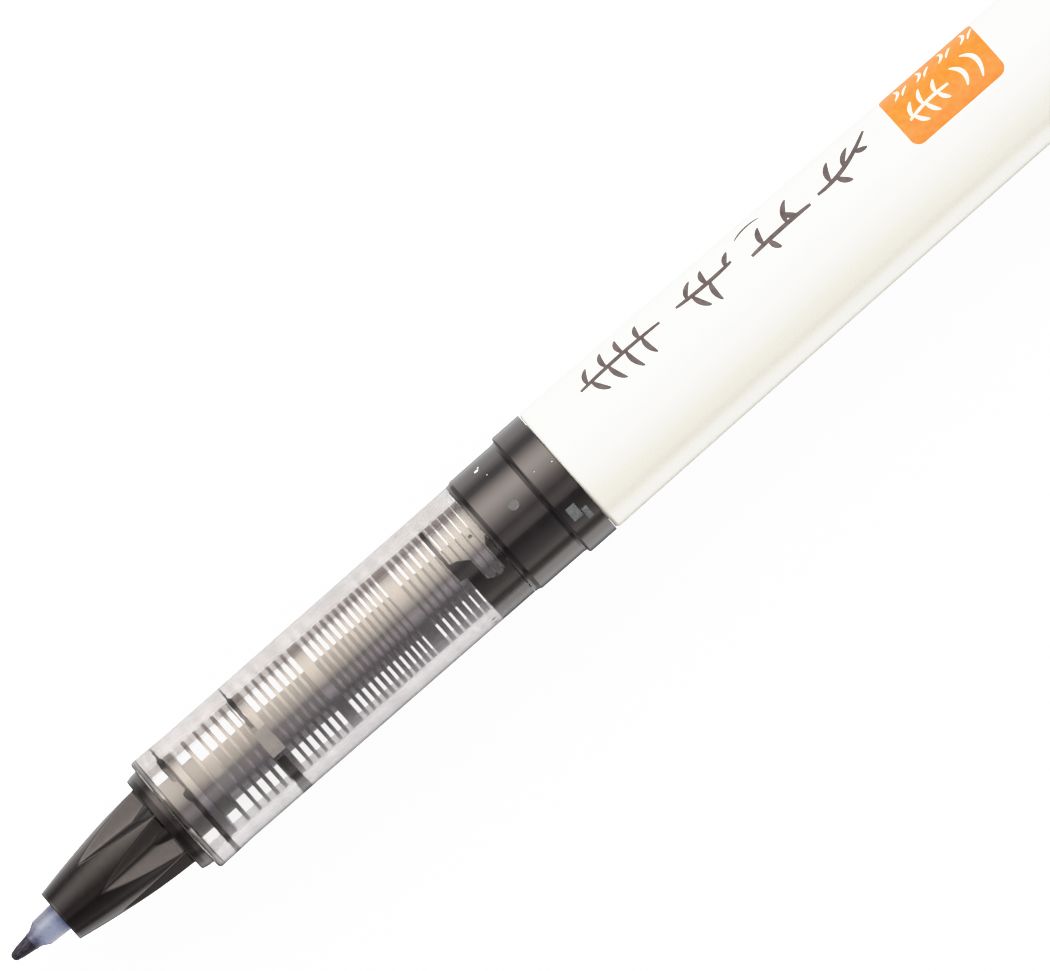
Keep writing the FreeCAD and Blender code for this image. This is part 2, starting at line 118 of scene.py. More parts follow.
class Shader:
    """A Principled material and short ways to add the nodes that vary it over the surface."""

    def __init__(self, name, color, roughness, **sockets):
        self.material = bpy.data.materials.new(name)
        self.material.use_nodes = True
        self.tree = self.material.node_tree
        self.nodes, self.links = self.tree.nodes, self.tree.links
        self.surface = self.nodes["Principled BSDF"]
        self.surface.inputs["Base Color"].default_value = (*color, 1)
        self.surface.inputs["Roughness"].default_value = roughness
        for socket, given in sockets.items():
            self.surface.inputs[socket.replace("_", " ")].default_value = given
        self.place = self.nodes.new("ShaderNodeTexCoord").outputs["Object"]
        self.normal = None

    def noise(self, size, stretch=(1, 1, 1), detail=4.0):
        """Noise whose features are about size millimetres, drawn out by stretch."""
        mapping = self.nodes.new("ShaderNodeMapping")
        mapping.inputs["Scale"].default_value = [1 / (size * MM * part) for part in stretch]
        self.links.new(self.place, mapping.inputs["Vector"])
        noise = self.nodes.new("ShaderNodeTexNoise")
        noise.inputs["Scale"].default_value = 1.0
        noise.inputs["Detail"].default_value = detail
        self.links.new(mapping.outputs["Vector"], noise.inputs["Vector"])
        return noise.outputs["Fac"]

    def across(self, axis):
        """The place along one axis of the CAD's frame, in millimetres."""
        split = self.nodes.new("ShaderNodeSeparateXYZ")
        self.links.new(self.place, split.inputs["Vector"])
        return worked(self.tree, "MULTIPLY", split.outputs[axis], 1 / MM)

    def plus(self, one, two, share):
        """One factor plus a share of another."""
        return worked(self.tree, "MULTIPLY_ADD", two, share, one)

    def banded(self, factor, *stops):
        """A color ramp over (factor, color) stops in order."""
        return banded(self.tree, factor, stops)

    def blended(self, factor, one, two, start=NOISE_RANGE[0], end=NOISE_RANGE[1]):
        """A color ramp between two colors."""
        node = self.nodes.new("ShaderNodeValToRGB")
        for element, place, color in zip(node.color_ramp.elements, (start, end), (one, two)):
            element.position = place
            element.color = (*color, 1)
        self.links.new(factor, node.inputs["Fac"])
        return node.outputs["Color"]

    def color_from(self, output):
        """Color the surface with an output."""
        self.links.new(output, self.surface.inputs["Base Color"])

    def vary(self, socket, factor, low, high):
        """Vary one of the surface's numbers between low and high with a noise."""
        self.links.new(mapped(self.tree, factor, *NOISE_RANGE, low, high), self.surface.inputs[socket])

    def bump_from(self, factor, depth):
        """Bump of a depth in millimetres, on top of any bump already there."""
        node = self.nodes.new("ShaderNodeBump")
        node.inputs["Distance"].default_value = depth * MM
        self.links.new(factor, node.inputs["Height"])
        if self.normal:
            self.links.new(self.normal, node.inputs["Normal"])
        self.normal = node.outputs["Normal"]
        self.links.new(self.normal, self.surface.inputs["Normal"])


WARM_GLOSS = (1.0, 0.88, 0.8, 1.0)
PLASTIC_IOR = 1.5
SMOKY_IOR = 1.54


def clear_plastic():
    """Polished clear plastic with faint flow marks."""
    look = Shader("clear_plastic", (1.0, 1.0, 1.0), 0.02, IOR=PLASTIC_IOR, Transmission_Weight=1.0,
                  Specular_Tint=WARM_GLOSS)
    look.bump_from(look.noise(3.0, stretch=(6, 1, 1)), 0.006)
    look.vary("Roughness", look.noise(0.8), 0.008, 0.03)
    grey = look.nodes.new("ShaderNodeVolumeAbsorption")
    grey.inputs["Color"].default_value = (0.42, 0.4, 0.39, 1)
    grey.inputs["Density"].default_value = 360
    look.links.new(grey.outputs["Volume"], look.nodes["Material Output"].inputs["Volume"])
    return look.material


def collector_plastic():
    """Cream moulding, darker towards -Y and black with ink in a band there, with painted shade on the discs'
    rims towards +Y.
    """
    look = Shader("collector_plastic", (0.3, 0.28, 0.25), 0.3, Specular_IOR_Level=0.3)
    height = look.plus(look.across("Y"), look.noise(0.9, stretch=(2, 1, 1)), 0.3)
    # painted shade: the stops past 2.87 darken the discs' rims towards +Y
    look.color_from(look.banded(
        height,
        (-4.2, (0.62, 0.57, 0.64)), (-3.8, (0.33, 0.3, 0.35)), (-3.5, (0.19, 0.175, 0.225)),
        (-3.0, (0.048, 0.043, 0.07)), (-2.2, (0.022, 0.02, 0.036)), (-1.2, (0.022, 0.02, 0.036)),
        (-0.75, (0.14, 0.125, 0.16)), (-0.4, (0.245, 0.212, 0.24)), (-0.1, (0.2, 0.175, 0.195)),
        (0.05, (0.16, 0.138, 0.15)), (0.5, (0.4, 0.355, 0.315)), (0.95, (0.56, 0.5, 0.43)),
        (1.6, (0.62, 0.56, 0.47)), (2.55, (0.6, 0.545, 0.47)), (2.87, (0.54, 0.49, 0.44)),
        (3.19, (0.4, 0.355, 0.335)), (3.51, (0.25, 0.21, 0.215)), (3.85, (0.13, 0.108, 0.12)),
        (4.3, (0.2, 0.175, 0.19))))
    look.vary("Roughness", look.noise(0.3), 0.25, 0.42)
    look.bump_from(look.noise(0.12), 0.004)
    return look.material


def core_plastic():
    """The same moulding down between the discs, which less ink has reached, with a faint painted glow in its
    own colour that stands in for light reaching it between the discs.
    """
    look = Shader("core_plastic", (0.5, 0.47, 0.42), 0.35, Specular_IOR_Level=0.3, Emission_Strength=0.2)
    height = look.plus(look.across("Y"), look.noise(0.7, stretch=(2, 1, 1)), 0.3)
    stain = look.banded(
        height,
        (-1.95, (0.5, 0.48, 0.54)), (-1.6, (0.36, 0.34, 0.39)), (-1.3, (0.15, 0.14, 0.175)),
        (-1.0, (0.14, 0.128, 0.16)), (-0.4, (0.24, 0.215, 0.245)), (0.1, (0.3, 0.27, 0.28)),
        (0.5, (0.72, 0.65, 0.57)), (1.9, (0.82, 0.75, 0.66)))
    look.color_from(stain)
    # painted light: the colour also feeds a faint emission, a glow that stands in for light between the discs
    look.links.new(stain, look.surface.inputs["Emission Color"])
    look.vary("Roughness", look.noise(0.3), 0.3, 0.45)
    look.bump_from(look.noise(0.12), 0.004)
    return look.material


def painted_wall_shade():
    """Painted shade: a thin, mostly clear warm-grey sheet on the sides of the clear tube's bore, in streaks
    around it, which darkens the tube's walls.
    """
    look = Shader("painted_wall_shade", (0.34, 0.3, 0.28), 0.6, Specular_IOR_Level=0.0)
    look.vary("Alpha", look.noise(0.5, stretch=(1, 12, 12)), 0.12, 0.19)
    look.color_from(look.banded(look.plus(look.across("Y"), look.noise(1.5), 2.0),
                                (-3.0, (0.42, 0.36, 0.41)), (4.0, (0.46, 0.36, 0.31))))
    return look.material


def bridge_plastic():
    """The same cream moulding where the ink hasn't reached."""
    look = Shader("bridge_plastic", (0.4, 0.37, 0.34), 0.3)
    look.color_from(look.blended(look.noise(0.5), (0.31, 0.27, 0.25), (0.36, 0.32, 0.295)))
    look.vary("Roughness", look.noise(0.3), 0.25, 0.42)
    look.bump_from(look.noise(0.12), 0.004)
    return look.material


def smoky_plastic():
    """Dark smoky plastic with a warm tint and a moulded gloss."""
    look = Shader("smoky_plastic", (0.005, 0.0045, 0.005), 0.06, IOR=SMOKY_IOR, Specular_Tint=WARM_GLOSS)
    look.color_from(look.blended(look.noise(1.4), (0.002, 0.0017, 0.0025), (0.005, 0.0042, 0.006)))
    look.vary("Roughness", look.noise(0.35), 0.04, 0.09)
    look.bump_from(look.noise(2.2), 0.008)
    look.bump_from(look.noise(0.1), 0.0015)
    return look.material


def black_plastic():
    """Black moulding with a warm gloss and the faint rings of its mould."""
    look = Shader("black_plastic", (0.0035, 0.0025, 0.003), 0.16, Specular_IOR_Level=0.42,
                  Specular_Tint=WARM_GLOSS)
    look.vary("Roughness", look.noise(0.5), 0.13, 0.21)
    look.bump_from(look.noise(0.22, stretch=(1, 60, 60)), 0.0015)
    look.bump_from(look.noise(0.09), 0.0015)
    return look.material


def pearl_plastic():
    """Warm pearl white with a fine flake and a clear gloss."""
    look = Shader("pearl_plastic", (0.5, 0.48, 0.44), 0.3, Coat_Weight=0.4, Coat_Roughness=0.06)
    flake = look.noise(0.06, stretch=(2.5, 1, 1), detail=2.0)
    cloud = look.noise(5.0, stretch=(5, 1, 1))
    look.color_from(look.blended(look.plus(cloud, flake, 0.5), (0.505, 0.482, 0.42), (0.535, 0.515, 0.46),
                                 0.5, 1.0))
    look.vary("Roughness", flake, 0.24, 0.38)
    look.bump_from(flake, 0.0012)
    look.bump_from(cloud, 0.01)
    return look.material


def ink_liquid():
    """Wet black ink with a violet cast."""
    look = Shader("ink_liquid", (0.004, 0.003, 0.007), 0.12, IOR=1.36, Specular_IOR_Level=0.1)
    look.color_from(look.blended(look.noise(0.5), (0.002, 0.0016, 0.004), (0.008, 0.006, 0.012), 0.35))
    look.bump_from(look.noise(0.8), 0.01)
    return look.material


def nib_fibre():
    """Bonded fibres along the nib, soaked with ink."""
    look = Shader("nib_fibre", (0.012, 0.01, 0.013), 0.4, Specular_IOR_Level=0.2)
    fibres = look.noise(0.13, stretch=(6, 1, 1))
    look.color_from(look.blended(fibres, (0.003, 0.0025, 0.005), (0.026, 0.02, 0.03), 0.38, 0.62))
    look.vary("Roughness", fibres, 0.3, 0.5)
    look.bump_from(fibres, 0.03)
    return look.material


def sleeve_plastic():
    """Milky blue sleeve, stained darker at its front and beside the nose, with painted light towards -Y and
    painted shade towards +Y.
    """
    look = Shader("sleeve_plastic", (0.14, 0.17, 0.23), 0.3, IOR=1.45, Subsurface_Weight=0.3,
                  Subsurface_Scale=0.3 * MM)
    stain = look.plus(look.across("X"), look.noise(0.5), 0.5)
    body = look.banded(
        stain,
        (-53.95, (0.01, 0.01, 0.02)), (-53.65, (0.038, 0.042, 0.07)), (-53.3, (0.085, 0.095, 0.14)),
        (-52.8, (0.13, 0.152, 0.2)), (-51.8, (0.15, 0.177, 0.228)), (-51.2, (0.11, 0.137, 0.205)),
        (-50.8, (0.05, 0.07, 0.14)))
    # painted light and shade: the colour is raised towards -Y and lowered towards +Y across the sleeve
    edges = look.banded(look.across("Y"), (-1.2, (1.5, 1.3, 1.2)), (-0.85, (1.5, 1.38, 1.42)),
                        (-0.5, (1.15, 1.1, 1.2)), (0.0, (0.88, 0.8, 0.84)), (0.4, (0.88, 0.82, 0.82)),
                        (0.75, (0.7, 0.65, 0.64)), (1.0, (0.55, 0.48, 0.47)), (1.2, (0.55, 0.48, 0.47)))
    tint = look.nodes.new("ShaderNodeVectorMath")
    tint.operation = "MULTIPLY"
    look.links.new(body, tint.inputs[0])
    look.links.new(edges, tint.inputs[1])
    look.color_from(tint.outputs["Vector"])
    look.vary("Roughness", look.noise(0.3), 0.25, 0.4)
    look.bump_from(look.noise(0.25), 0.006)
    return look.material


def flat_ink(name, color, worn):
    """Screen-printed ink, a little uneven where it is thin."""
    look = Shader(name, color, 0.4, Specular_IOR_Level=0.2)
    look.color_from(look.blended(look.noise(0.5), color, worn, 0.35, 0.75))
    look.vary("Roughness", look.noise(0.15), 0.32, 0.5)
    look.bump_from(look.noise(0.08), 0.002)
    return look.material


def spring_steel():
    """Bright strip with rolling lines along it."""
    look = Shader("spring_steel", (0.62, 0.61, 0.6), 0.22, Metallic=1.0, Anisotropic=0.4)
    lines = look.noise(0.16, stretch=(60, 1, 1))
    look.vary("Roughness", lines, 0.16, 0.3)
    look.color_from(look.blended(lines, (0.56, 0.55, 0.54), (0.68, 0.67, 0.66)))
    look.bump_from(lines, 0.001)
    return look.material


def white_liner():
    """Natural matte plastic of the inner cap."""
    look = Shader("white_liner", (0.7, 0.7, 0.68), 0.5)
    look.vary("Roughness", look.noise(0.4), 0.42, 0.6)
    look.bump_from(look.noise(0.2), 0.004)
    return look.material


CLEAR = clear_plastic()
CREAM = collector_plastic()
CORE = core_plastic()
BRIDGE = bridge_plastic()
WALL_SHADE = painted_wall_shade()
SMOKY = smoky_plastic()
BLACK = black_plastic()
PEARL = pearl_plastic()
INK = ink_liquid()
FIBRE = nib_fibre()
SLEEVE = sleeve_plastic()
STEEL = spring_steel()
LINER = white_liner()
GREY_PRINT = flat_ink("grey_print", (0.042, 0.03, 0.03), (0.07, 0.053, 0.051))
ORANGE_PRINT = flat_ink("orange_print", (0.5, 0.094, 0.002), (0.52, 0.125, 0.012))
CREAM_PRINT = flat_ink("cream_print", (0.5, 0.46, 0.38), (0.46, 0.4, 0.3))

# ---- meshes


def rounded(corners, steps=5):
    """An open outline through (x, r) or (x, r, rounding) corners, with arcs at the rounded ones."""
    points = []
    for place, corner in enumerate(corners):
        spot = Vector(corner[:2])
        rounding = corner[2] if len(corner) > 2 else 0
        if not rounding or place in (0, len(corners) - 1):
            points.append(spot)
            continue
        back = (Vector(corners[place - 1][:2]) - spot).normalized()
        ahead = (Vector(corners[place + 1][:2]) - spot).normalized()
        half = math.acos(max(-1.0, min(1.0, back.dot(ahead)))) / 2
        middle = spot + (back + ahead).normalized() * (rounding / math.sin(half))
        first = spot + back * (rounding / math.tan(half)) - middle
        last = spot + ahead * (rounding / math.tan(half)) - middle
        turn = first.angle_signed(last)
        for step in range(steps + 1):
            points.append(middle + Matrix.Rotation(-turn * step / steps, 2) @ first)
    return points


def braced(outline, loop):
    """The outline with a point close to each end of its long runs, which keeps their shading straight."""
    near, points = 0.02, []
    last = len(outline) if loop else len(outline) - 1
    for place in range(last):
        one, two = Vector(outline[place]), Vector(outline[(place + 1) % len(outline)])
        points.append(one)
        run = two - one
        if run.length > 6 * near:
            points += [one + run.normalized() * near, two - run.normalized() * near]
    return points if loop else points + [Vector(outline[-1])]


def around_axis(x, r, angle):
    """The point at a distance r and an angle from +Z towards +Y, in metres."""
    return Vector((x, r * math.sin(angle), r * math.cos(angle))) * MM


def piece(name, mesh, material, body, replaces=()):
    """A Blender object from a bmesh, smooth but for sharp edges, riding on a CAD body."""
    bmesh.ops.recalc_face_normals(mesh, faces=mesh.faces)
    for face in mesh.faces:
        face.smooth = True
    for edge in mesh.edges:
        if len(edge.link_faces) == 2 and edge.calc_face_angle(0) > SHARP:
            edge.smooth = False
    data = bpy.data.meshes.new(name)
    mesh.to_mesh(data)
    mesh.free()
    data.materials.append(material)
    thing = bpy.data.objects.new(name, data)
    bpy.context.scene.collection.objects.link(thing)
    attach(thing, body)
    if replaces:
        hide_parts(*replaces)
    return thing


def join(mesh, one, two):
    """Fill between two rings of vertices, either of which may be a single pole."""
    for step in range(max(len(one), len(two))):
        corners = [ring[place % len(ring)] for ring, place in
                   ((one, step), (one, step + 1), (two, step + 1), (two, step))]
        corners = list(dict.fromkeys(corners))
        if len(corners) > 2:
            mesh.faces.new(corners)


def skin(mesh, rings):
    """Join a row of rings of vertices and fill its two ends."""
    for one, two in zip(rings, rings[1:]):
        join(mesh, one, two)
    mesh.faces.new(rings[0])
    mesh.faces.new(rings[-1])


def turn_outline(mesh, outline, around=AROUND, reach=lambda x, r, angle: r):
    """Add a full turn of an outline. Points on the axis become poles, and any other outline closes."""
    loop = outline[0][1] > 1e-6 and outline[-1][1] > 1e-6
    rings = []
    for x, r in braced(outline, loop):
        if r < 1e-6:
            rings.append([mesh.verts.new((x * MM, 0, 0))])
            continue
        rings.append([])
        for step in range(around):
            angle = 2 * math.pi * step / around
            rings[-1].append(mesh.verts.new(around_axis(x, reach(x, r, angle), angle)))
    if loop:
        rings.append(rings[0])
    for one, two in zip(rings, rings[1:]):
        join(mesh, one, two)


def part_turn(mesh, outline, start, sweep, around=AROUND):
    """Add part of a turn of a closed outline, with its two ends filled."""
    steps = max(2, round(around * sweep / (2 * math.pi)))
    outline = braced(outline, True)
    skin(mesh, [[mesh.verts.new(around_axis(x, r, start + sweep * step / steps)) for x, r in outline]
                for step in range(steps + 1)])


def turned(name, corners, material, body="pen", around=AROUND):
    """A full turn of a rounded outline that stands for the CAD node of its name."""
    mesh = bmesh.new()
    turn_outline(mesh, rounded(corners), around)
    piece(name, mesh, material, body, (name.replace("_body", ""),))


def closed(*corners):
    """A closed outline whose first corner is rounded too: it starts halfway along its last edge."""
    first, last = Vector(corners[0][:2]), Vector(corners[-1][:2])
    return [tuple((first + last) / 2), *corners, tuple((first + last) / 2 + (last - first) * 1e-4)]


def blob(mesh, x, r, angle, length, width, height):
    """Add a low rounded lump of given half sizes on the wall at a place along the pen and an angle."""
    shape = (Matrix.Translation(around_axis(x, r, angle)) @ Matrix.Rotation(angle, 4, "X").inverted()
             @ Matrix.Diagonal((length * MM, width * MM, height * MM, 1)))
    bmesh.ops.create_icosphere(mesh, subdivisions=3, radius=1, matrix=shape)


def box_mesh(mesh, low, high, bevel):
    """Add a box with bevelled edges, its corners in millimetres."""
    middle = (Vector(low) + Vector(high)) / 2
    size = Vector(high) - Vector(low)
    shape = Matrix.Translation(middle * MM) @ Matrix.Diagonal((*(size * MM), 1))
    made = bmesh.ops.create_cube(mesh, size=1, matrix=shape)
    edges = list({edge for vert in made["verts"] for edge in vert.link_edges})
    bmesh.ops.bevel(mesh, geom=edges, offset=bevel * MM, segments=3, profile=0.5, affect="EDGES")


# ---- nib

NIB_APEX, NIB_REAR, NIB_R = extent("nib_core")
SLEEVE_FRONT, SLEEVE_REAR, SLEEVE_R = extent("nib_sleeve")
NOSE_FRONT, SPIGOT_END, FLANGE_R = extent("nose_cone")

turned("nib_core_body", [
    (NIB_APEX, 0), (NIB_APEX + 0.02, 0.2, 0.12), (NIB_APEX + 0.22, 0.4, 0.3), (NIB_APEX + 0.8, 0.54, 1.0),
    (SLEEVE_FRONT - 0.1, 0.69, 0.3),
    (SLEEVE_FRONT + 0.1, NIB_R), (NIB_REAR, NIB_R), (NIB_REAR, 0)], FIBRE, around=96)

turned("nib_sleeve_body", closed(
    (SLEEVE_FRONT + 0.05, NIB_R + 0.01), (SLEEVE_FRONT + 0.02, NIB_R + 0.03, 0.01),
    (SLEEVE_FRONT + 0.45, 0.78, 0.4), (SLEEVE_FRONT + 1.18, 1.19, 0.3), (NOSE_FRONT - 0.01, SLEEVE_R + 0.035),
    (NOSE_FRONT - 0.01, SLEEVE_R),
    (SLEEVE_REAR, SLEEVE_R, 0.05), (SLEEVE_REAR, NIB_R + 0.01)), SLEEVE, around=96)

# ---- nose

FLANGE_FRONT = NOSE_FRONT + 11.04
NOSE_R = 2.4  # the cone's radius at its front
CONE_R = 3.93  # and at its rear
CONE_BULGE = 0.15
FLUTES = 6
FLUTE_CLOCK = math.radians(-14)  # the angle of one flute's valley
FLUTE_START = FLANGE_FRONT - 7.3
FLUTE_FLOOR = (3.06, 2.42)  # the valley's radius at the flute's start and end
FLUTE_VALLEY = (0.06, 0.3)  # and how wide its rounding is there
FLUTE_SLOPE = math.tan(math.radians(31))
FLUTE_HEEL = 0.3  # the length over which the floor rises to the flange
FLUTE_RISE = 0.2
EDGE_SOFTNESS = 0.03
SPIGOT_R = 1.6


def flute_cut(x, angle):
    """The radius of a flute's two flat walls, which meet in a rounded valley."""
    along = (x - FLUTE_START) / (FLANGE_FRONT - FLUTE_START)
    pitch = 2 * math.pi / FLUTES
    off = (angle - FLUTE_CLOCK + pitch / 2) % pitch - pitch / 2
    floor = FLUTE_FLOOR[0] + (FLUTE_FLOOR[1] - FLUTE_FLOOR[0]) * along
    valley = FLUTE_VALLEY[0] + (FLUTE_VALLEY[1] - FLUTE_VALLEY[0]) * max(0.0, along)
    heel = max(0.0, x - (FLANGE_FRONT - FLUTE_HEEL)) / FLUTE_HEEL
    foot = floor + FLUTE_RISE * heel ** 3 - FLUTE_SLOPE * valley
    across = math.cos(off) ** 2 - (FLUTE_SLOPE * math.sin(off)) ** 2
    reach = foot * math.cos(off)
    root = reach ** 2 - across * (foot ** 2 - (FLUTE_SLOPE * valley) ** 2)
    return (reach + math.sqrt(max(0.0, root))) / across


def flute_reach(x, r, angle):
    """The cone's radius where a flute has cut it, with its edges softened."""
    if x < FLUTE_START - 0.6 or x > FLANGE_FRONT - 0.01 or r < NOSE_R:
        return r
    gap = (r - flute_cut(x, angle)) / EDGE_SOFTNESS
    return r if gap < -4 else r - EDGE_SOFTNESS * math.log1p(math.exp(min(gap, 40.0)))


def make_nose():
    """The fluted cone, its flange and its spigot, with enough rings along the cone for the flutes."""
    rings, start = 120, NOSE_FRONT + 0.08
    cone = [(start + (FLANGE_FRONT - start) * along,
             NOSE_R + (CONE_R - NOSE_R) * along + CONE_BULGE * 4 * along * (1 - along))
            for along in (ring / rings for ring in range(rings + 1))]
    bore = SLEEVE_R + 0.015
    front = rounded([(NOSE_FRONT + 1, bore), (NOSE_FRONT, bore, 0.05), (NOSE_FRONT, NOSE_R + 0.012, 0.08),
                     cone[4]])[1:-1]
    rear_face = extent("front_shell")[0] - 0.01
    rear = rounded([cone[-1], (FLANGE_FRONT, 4.62, 0.14), (FLANGE_FRONT + 0.6, FLANGE_R - 0.05, 1.0),
                    (rear_face, FLANGE_R - 0.01, 0.04), (rear_face, SPIGOT_R), (SPIGOT_END, SPIGOT_R, 0.1),
                    (SPIGOT_END, NIB_R + 0.02), (SLEEVE_REAR, NIB_R + 0.02), (SLEEVE_REAR, bore),
                    (NOSE_FRONT + 1, bore)])
    mesh = bmesh.new()
    turn_outline(mesh, front + cone[1:] + rear[1:], 480, flute_reach)
    piece("nose_cone_body", mesh, BLACK, "pen", ("nose_cone",))


make_nose()

# ---- clear shell

SHELL_FRONT, SHELL_END, SHELL_R = extent("front_shell")
COLLAR_FRONT, COLLAR_SPIGOT_END, RING_R = extent("collar")
BORE = 4.24
SHELL_WALL = 0.45
FRONT_HOLE_R = 1.64
SHELL_SPIGOT_R = 5.0

turned("front_shell_body", closed(
    (SHELL_FRONT, FRONT_HOLE_R, 0.05), (SHELL_FRONT, SHELL_R + 0.005, 0.27),
    (SHELL_FRONT + 1.5, SHELL_R - 0.02, 3.0), (SHELL_FRONT + 3.4, 5.416, 4.0),
    (COLLAR_FRONT, SHELL_R - 0.005, 0.05), (COLLAR_FRONT, SHELL_SPIGOT_R, 0.05),
    (SHELL_END, SHELL_SPIGOT_R, 0.1), (SHELL_END, BORE, 0.05), (SHELL_FRONT + SHELL_WALL, BORE, 0.12),
    (SHELL_FRONT + SHELL_WALL, FRONT_HOLE_R, 0.05)), CLEAR, around=384)

# ---- collector

COLLECTOR_FRONT, COLLECTOR_REAR, DISC_R = extent("collector")
NECK_R = 2.72
CORE_R = 1.95
WICK_R = 1.01
FIRST_DISC = COLLECTOR_FRONT + 1.88
NECK_END = FIRST_DISC + 2.0
SLIT = math.radians(4)
INK_SLOT = (COLLECTOR_FRONT + 8.52, COLLECTOR_FRONT + 9.16)
# the combs of slots: start, count, pitch, pitch step, width, width step
COMBS = ((COLLECTOR_FRONT + 5.26, 4, 0.95, 0.02, 0.67, 0.04),
         (COLLECTOR_FRONT + 9.92, 7, 0.816, 0.016, 0.54, 0.022),
         (COLLECTOR_FRONT + 16.04, 13, 0.7, 0.009, 0.4, 0.0175),
         (COLLECTOR_FRONT + 25.26, 11, 0.71, 0.0, 0.26, 0.016))


def slots():
    """The (start, end) of every slot between the collector's discs, front to rear."""
    found = [(FIRST_DISC + 0.68, FIRST_DISC + 1.84), (FIRST_DISC + 2.16, FIRST_DISC + 3.12), INK_SLOT]
    for start, count, pitch, pitch_step, width, width_step in COMBS:
        for slot in range(count):
            front = start + slot * pitch - slot * (slot - 1) / 2 * pitch_step
            found.append((front, front + width - slot * width_step))
    return sorted(found)


def make_collector():
    """The core and its discs, which are open below at the feed slit."""
    mesh = bmesh.new()
    turn_outline(mesh, rounded(closed(
        (COLLECTOR_FRONT, WICK_R + 0.4), (COLLECTOR_FRONT, NECK_R, 0.05), (NECK_END, NECK_R, 0.05),
        (NECK_END, CORE_R), (COLLECTOR_REAR, CORE_R), (COLLECTOR_REAR, WICK_R),
        (SPIGOT_END, WICK_R), (SPIGOT_END, WICK_R + 0.4))))
    for face in mesh.faces:  # slot 0 is the neck, and slot 1 the core behind it
        face.material_index = int(face.calc_center_median().x > (NECK_END + 0.05) * MM)
    edges = [FIRST_DISC] + [x for slot in slots() for x in slot] + [COLLECTOR_REAR]
    for front, rear in zip(edges[::2], edges[1::2]):
        edge = min(0.05, (rear - front) / 4)
        part_turn(mesh, rounded([(front, CORE_R - 0.05), (front, DISC_R, edge), (rear, DISC_R, edge),
                                 (rear, CORE_R - 0.05)], 3), math.pi + SLIT / 2, 2 * math.pi - SLIT, 120)
    discs = set(mesh.faces)
    box_mesh(mesh, (COLLECTOR_FRONT + 0.02, -2.22, -0.5), (COLLECTOR_REAR - 0.02, -1.5, 0.5), 0.05)
    for face in set(mesh.faces) - discs:
        face.material_index = 1
    body = piece("collector_body", mesh, CREAM, "pen", ("collector",))
    body.data.materials.append(CORE)
    mesh = bmesh.new()
    front, rear, low, high = INK_SLOT[0] + 0.04, INK_SLOT[1] + 0.76, CORE_R - 0.05, BORE - 0.04
    part_turn(mesh, rounded([(front, low), (front, high, 0.08), (rear, high, 0.08), (rear, low)]),
              -math.radians(22), math.radians(32))
    piece("collector_bridge", mesh, BRIDGE, "pen", ("collector",))


make_collector()

# ---- trapped ink

INK_R = BORE + 0.012
WALL_RIM = 0.98  # the seen height at the wall's edge, as a share of the shell's radius
RIM_ANGLE = 98  # the angle there, in degrees
RIM_TURN = 400  # how fast greater heights carry on round the wall, out of sight
FILM_STEP = 1.5  # degrees between a film's rings


def wall_angle(height):
    """The angle towards -Y where ink on the bore's wall is seen from above at a height below the axis."""
    across = height / SHELL_R
    if abs(across) > WALL_RIM:
        return math.copysign(RIM_ANGLE + (abs(across) - WALL_RIM) * RIM_TURN, height)
    return math.degrees(math.asin(across) - math.asin(across / PLASTIC_IOR)
                        + math.asin(height / PLASTIC_IOR / BORE))


def film(mesh, base, rows, seed, wave, inner=DISC_R + 0.005):
    """Add ink between the discs and the wall, from (seen height, front x, rear x) rows, x past a base."""
    chance = random.Random(seed)
    keys = [(wall_angle(height), base + front, base + rear) for height, front, rear in rows]
    places, angle = [], keys[0][0]
    while angle < keys[-1][0]:
        places.append(angle)
        angle += FILM_STEP
    places.append(keys[-1][0])
    phases = [(chance.uniform(0, 6.3), chance.uniform(0.25, 0.6)) for _ in range(4)]
    rings = []
    for angle in places:
        one, two = next(pair for pair in zip(keys, keys[1:]) if pair[1][0] >= angle - 1e-9)
        part = (angle - one[0]) / max(1e-9, two[0] - one[0])
        front, rear = (one[end] + (two[end] - one[end]) * part
                       + wave * sum(math.sin(phase + speed * angle) for phase, speed in pair) / 2
                       for end, pair in ((1, phases[:2]), (2, phases[2:])))
        rear = max(rear, front + 0.03)
        edge = min(0.03, (rear - front) / 3)
        outline = ((front, inner), (front, INK_R - edge), (front + edge, INK_R), (rear - edge, INK_R),
                   (rear, INK_R - edge), (rear, inner))
        rings.append([mesh.verts.new(around_axis(x, r, -math.radians(angle))) for x, r in outline])
    skin(mesh, rings)


